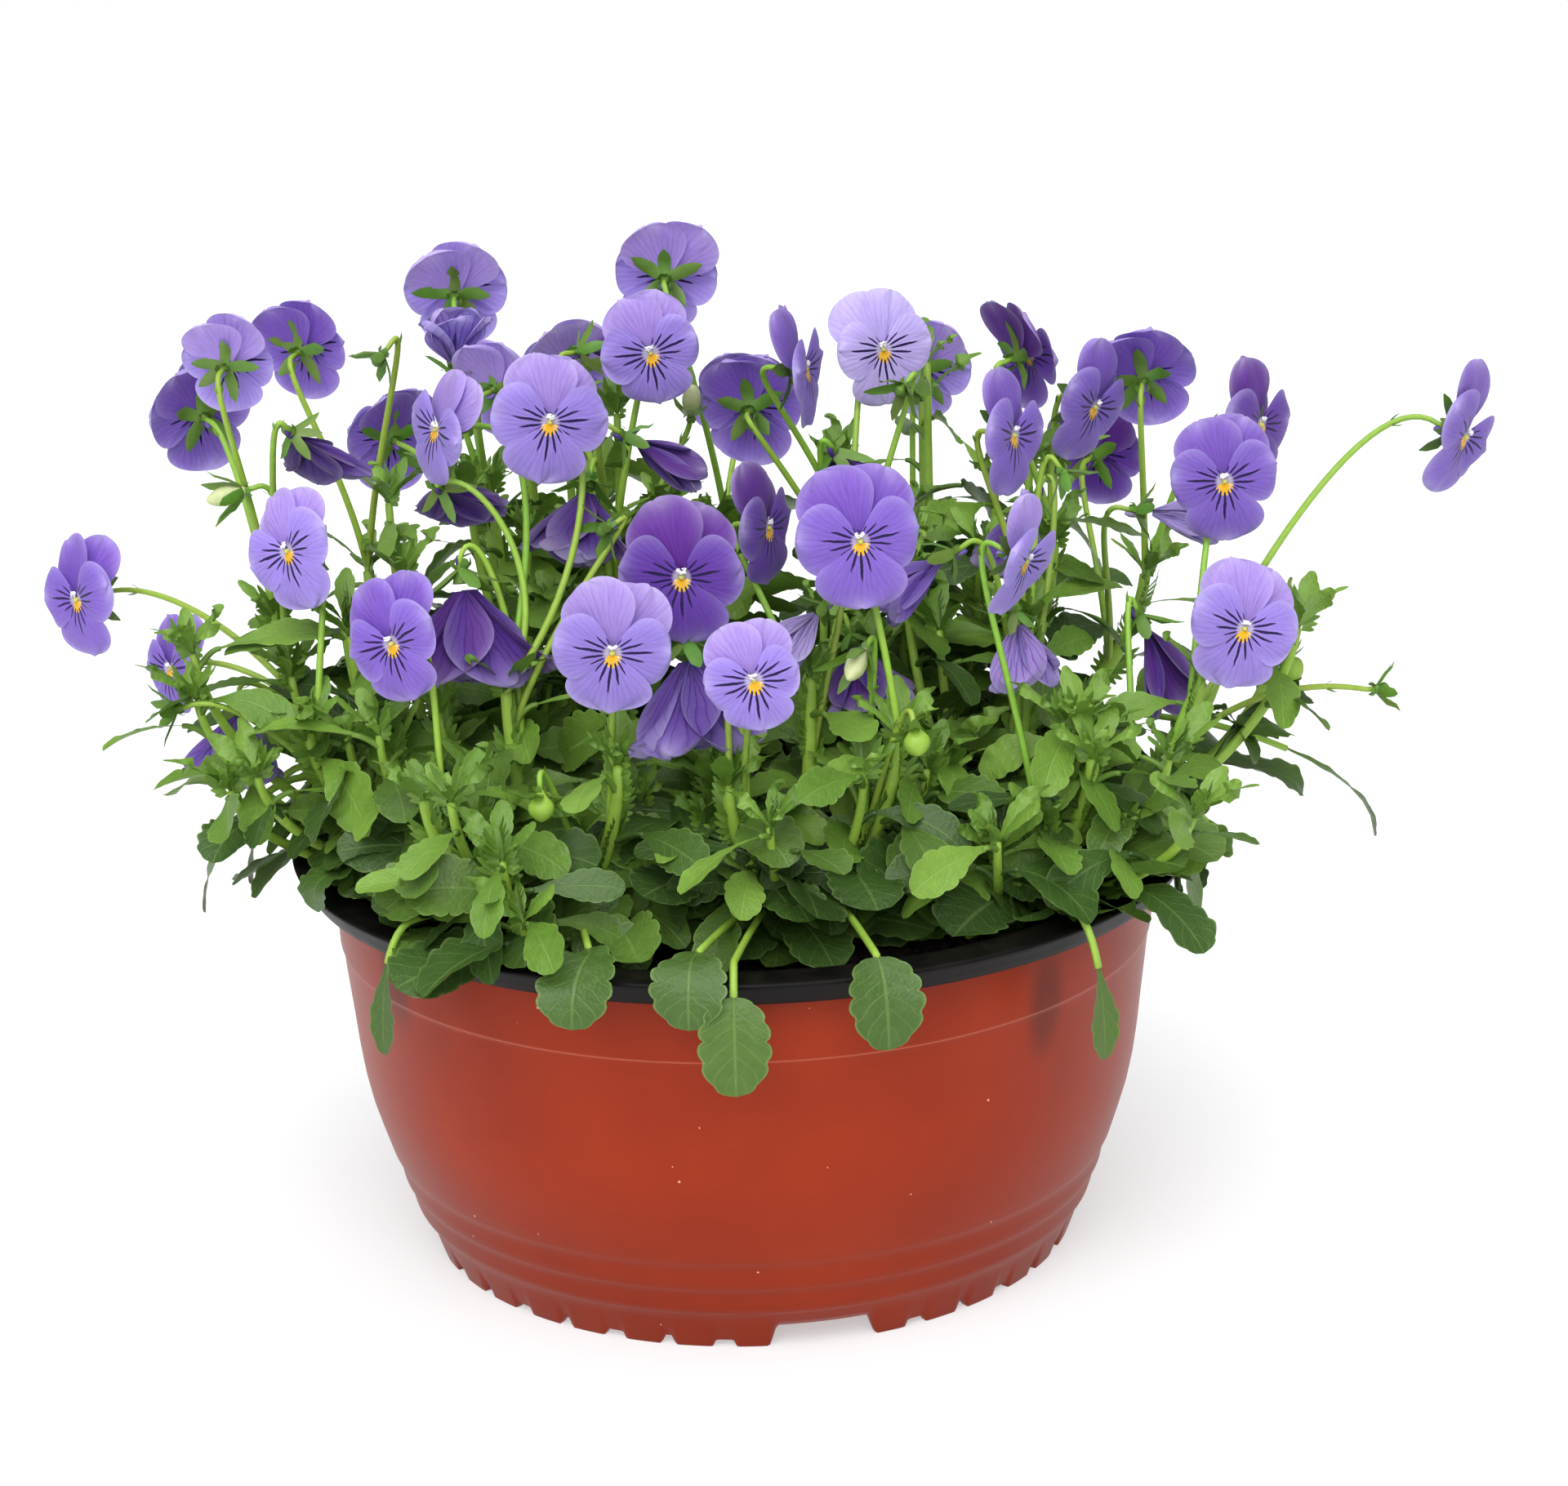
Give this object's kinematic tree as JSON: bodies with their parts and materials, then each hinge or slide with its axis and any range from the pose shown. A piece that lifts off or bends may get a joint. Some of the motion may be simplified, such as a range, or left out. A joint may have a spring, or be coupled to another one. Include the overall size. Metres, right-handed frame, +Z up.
{
  "type": "potted pansy planter",
  "caption": "Round plastic bedding bowl filled with soil and planted with violas in violet flower, for standing on a patio or a table.",
  "frame": {"origin": "centre of the bowl's foot, on the surface that the bowl stands on, which is also the bottom centre of the whole object's box", "axes": "+Z up, out of the bowl; -Y towards the front, where the largest open flowers look; +X to the right, along the planter's widest spread"},
  "size_m": [0.4304, 0.287, 0.3011],
  "materials": {
    "bowl_plastic": "satin terracotta-coloured plastic outside, black inside and on the rim",
    "soil": "damp peat, crumbly",
    "foliage": "fresh green leaf and stem",
    "petal_light": "soft lavender petal",
    "petal_violet": "soft violet petal",
    "petal_purple": "velvety deep purple petal",
    "petal_pale": "faded pale lilac petal"
  },
  "bodies": {
    "root": {"planter_bowl": "bowl_plastic", "potting_soil": "soil", "plant_left": "foliage", "plant_front_left": "foliage", "plant_front_centre": "foliage", "plant_right": "foliage", "plant_back_left": "foliage", "plant_back_right": "foliage", "flower_01": "petal_light", "flower_02": "petal_violet", "flower_03": "petal_violet", "flower_04": "petal_light", "flower_05": "petal_light", "flower_06": "petal_light", "flower_07": "petal_light", "flower_08": "petal_light", "flower_09": "petal_light", "flower_10": "petal_light", "flower_11": "petal_purple", "flower_12": "petal_purple", "flower_13": "petal_purple", "flower_14": "petal_violet", "flower_15": "petal_pale", "flower_16": "petal_violet", "flower_17": "petal_purple", "flower_18": "petal_violet", "flower_19": "petal_purple", "flower_20": "petal_purple", "flower_21": "petal_light", "flower_22": "petal_light", "flower_23": "petal_violet", "flower_24": "petal_violet", "flower_25": "petal_light", "flower_26": "petal_violet", "flower_27": "petal_purple", "flower_28": "petal_purple", "flower_29": "petal_purple", "flower_30": "petal_violet", "flower_31": "petal_violet", "flower_32": "petal_violet", "flower_33": "petal_purple", "flower_34": "petal_violet", "flower_35": "petal_violet", "flower_36": "petal_purple", "flower_37": "petal_violet", "flower_38": "petal_light", "flower_39": "petal_violet", "flower_40": "petal_light", "flower_41": "petal_purple", "flower_42": "petal_violet", "flower_43": "petal_light", "flower_44": "petal_purple", "flower_45": "petal_pale", "flower_46": "petal_pale", "flower_47": "petal_purple", "flower_48": "petal_violet", "flower_49": "petal_light", "flower_50": "petal_violet", "flower_51": "petal_light", "flower_52": "petal_purple"}
  },
  "joints": []
}
